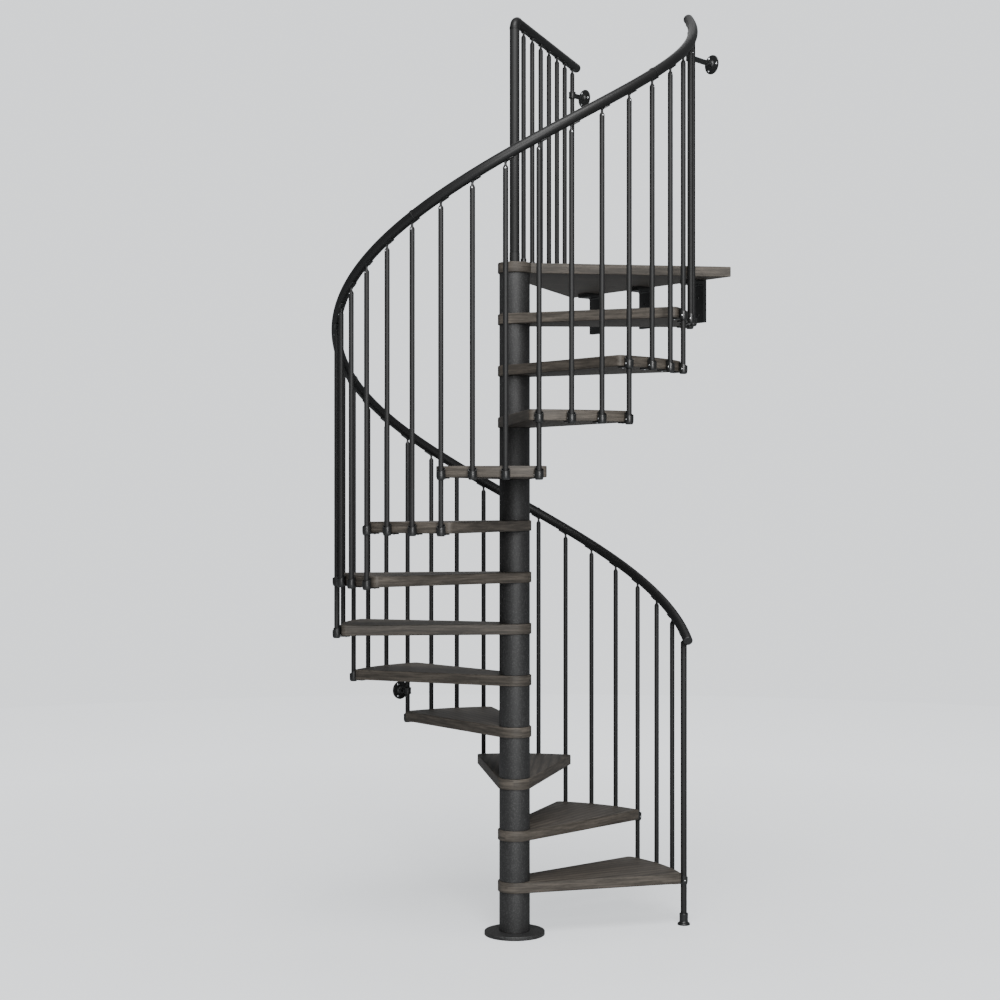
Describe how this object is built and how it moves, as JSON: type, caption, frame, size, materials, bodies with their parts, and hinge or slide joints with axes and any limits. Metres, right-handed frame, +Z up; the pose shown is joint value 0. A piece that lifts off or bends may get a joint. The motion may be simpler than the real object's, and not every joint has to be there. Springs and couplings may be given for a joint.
{
  "type": "spiral staircase",
  "caption": "Spiral staircase: wooden treads on a steel column, a wedge landing held to a wall, round balusters and a helical handrail.",
  "frame": {"origin": "on the column's axis at the underside of the base plate", "axes": "+Z up along the column; +Y towards the wall that carries the landing; -X towards the wall that carries the low anchor; the stair climbs counter-clockwise seen from above"},
  "size_m": [1.4972, 1.4973, 3.7407],
  "materials": {
    "powder_coated_steel": "satin anthracite powder coat with a fine grain",
    "handrail_plastic": "satin dark grey",
    "stained_wood": "grey-brown stain under a matt varnish",
    "black_fitting": "satin black"
  },
  "bodies": {
    "root": {"base_plate": "powder_coated_steel", "column_spacers": "powder_coated_steel", "tread_01": "stained_wood", "tread_02": "stained_wood", "tread_03": "stained_wood", "tread_04": "stained_wood", "tread_05": "stained_wood", "tread_06": "stained_wood", "tread_07": "stained_wood", "tread_08": "stained_wood", "tread_09": "stained_wood", "tread_10": "stained_wood", "tread_11": "stained_wood", "tread_12": "stained_wood", "landing": "stained_wood", "newel_post": "powder_coated_steel", "newel_foot": "black_fitting", "balusters_01": "powder_coated_steel", "balusters_02": "powder_coated_steel", "balusters_03": "powder_coated_steel", "balusters_04": "powder_coated_steel", "balusters_05": "powder_coated_steel", "balusters_06": "powder_coated_steel", "balusters_07": "powder_coated_steel", "balusters_08": "powder_coated_steel", "balusters_09": "powder_coated_steel", "balusters_10": "powder_coated_steel", "balusters_11": "powder_coated_steel", "balusters_12": "powder_coated_steel", "tread_clips": "black_fitting", "rail_saddles": "black_fitting", "handrail_1": "handrail_plastic", "handrail_2": "handrail_plastic", "handrail_3": "handrail_plastic", "handrail_4": "handrail_plastic", "handrail_5": "handrail_plastic", "rail_collars": "handrail_plastic", "rail_caps": "black_fitting", "landing_post": "powder_coated_steel", "landing_elbow": "handrail_plastic", "landing_handrail": "handrail_plastic", "landing_balusters": "powder_coated_steel", "landing_feet": "black_fitting", "wall_anchors": "black_fitting", "slab_brackets": "black_fitting"}
  },
  "joints": []
}
